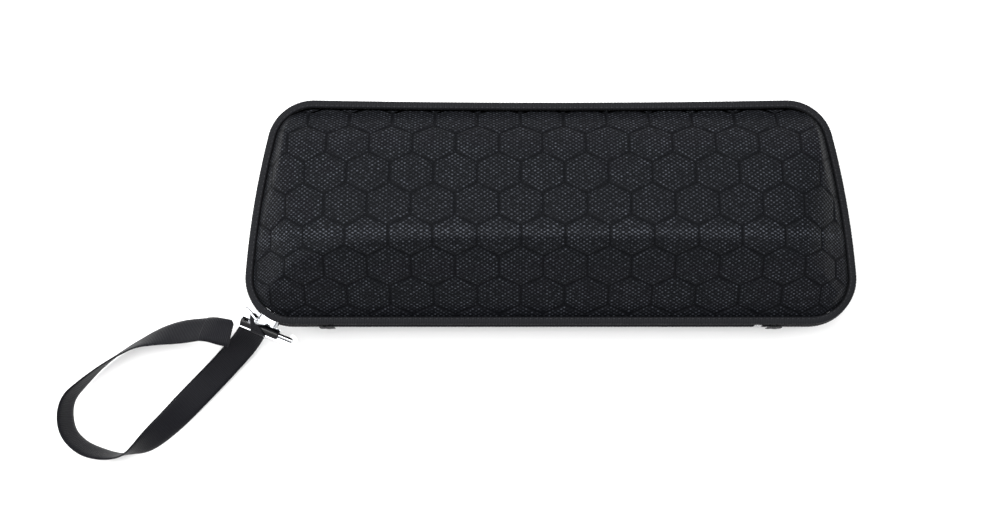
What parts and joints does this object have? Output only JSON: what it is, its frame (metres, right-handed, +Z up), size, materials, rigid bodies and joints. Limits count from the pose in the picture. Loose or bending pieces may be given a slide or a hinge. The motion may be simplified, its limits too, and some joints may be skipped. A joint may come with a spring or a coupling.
{
  "type": "racket sports hard case",
  "caption": "Zipped hard-shell case with a gabled fabric lid, fabric spine, round-the-corner zip, snap clip and webbing wrist strap.",
  "frame": {"origin": "middle of the case's footprint on its flat underside, measured without the clip and the strap", "axes": "+X along the case's length, +Y towards the opening side, +Z up; the fabric hinge is on the -Y side"},
  "size_m": [0.4005, 0.1795, 0.072],
  "materials": {
    "hex_fabric": "satin",
    "foam": "matte",
    "lining": "matte",
    "binding": "matte",
    "zip_tape": "matte",
    "zip_coil": "gloss",
    "steel": "satin",
    "mesh": "matte",
    "elastic": "matte",
    "chrome": "polished",
    "webbing": "matte",
    "barrel_black": "gloss"
  },
  "bodies": {
    "base": {"base_fabric": "hex_fabric", "base_shell": "foam", "base_lining": "lining", "base_rim_binding": "binding", "base_zip_tape": "zip_tape", "base_zip_coil": "zip_coil", "spine_strip": "binding", "inner_gusset": "lining", "zip_end_tab_left": "binding", "zip_end_tab_right": "binding", "zip_stop": "steel", "paddle_retainer": "elastic", "retainer_patch_front": "binding", "retainer_patch_back": "binding"},
    "lid": {"lid_fabric": "hex_fabric", "lid_shell": "foam", "lid_lining": "lining", "lid_rim_binding": "binding", "lid_zip_tape": "zip_tape", "lid_zip_coil": "zip_coil", "mesh_pocket": "mesh", "pocket_hem": "elastic"},
    "slider": {"slider_body": "chrome", "slider_crown": "chrome"},
    "pull": {"pull_link": "chrome", "pull_cord": "webbing"},
    "clip": {"clip_frame": "chrome", "clip_barrel": "barrel_black", "bolt_spring": "steel", "strap_fold": "webbing", "wrist_strap": "webbing"},
    "bolt": {"clip_bolt": "chrome"}
  },
  "joints": [
    {"name": "lid_hinge", "type": "hinge", "parent": "base", "child": "lid", "pos_m": [0, -0.0547, 0.032], "axis": [1, 0, 0], "range_deg": [0, 90], "deforming": ["lid_rim_binding", "lid_zip_tape", "lid_zip_coil", "spine_strip", "inner_gusset", "zip_end_tab_left", "zip_end_tab_right"]},
    {"name": "zip_travel", "type": "hinge", "parent": "base", "child": "slider", "pos_m": [-0.1286, -0.0335, 0.032], "axis": [0, 0, -1], "range_deg": [-14, 48], "deforming": ["base_zip_tape", "base_zip_coil"]},
    {"name": "pull_swing", "type": "hinge", "parent": "slider", "child": "pull", "pos_m": [-0.1459, -0.05449, 0.032], "axis": [0, 0, 1], "range_deg": [0, 8]},
    {"name": "clip_swing", "type": "hinge", "parent": "pull", "child": "clip", "pos_m": [-0.14311, -0.05816, 0.0236], "axis": [0.9272, -0.3746, 0], "range_deg": [-4, 45]},
    {"name": "bolt_slide", "type": "slide", "parent": "clip", "child": "bolt", "axis": [-0.9272, 0.3746, 0], "range_m": [0, 0.005], "stiffness_N_per_m": 150, "springref_m": -0.002, "deforming": ["bolt_spring"]}
  ]
}
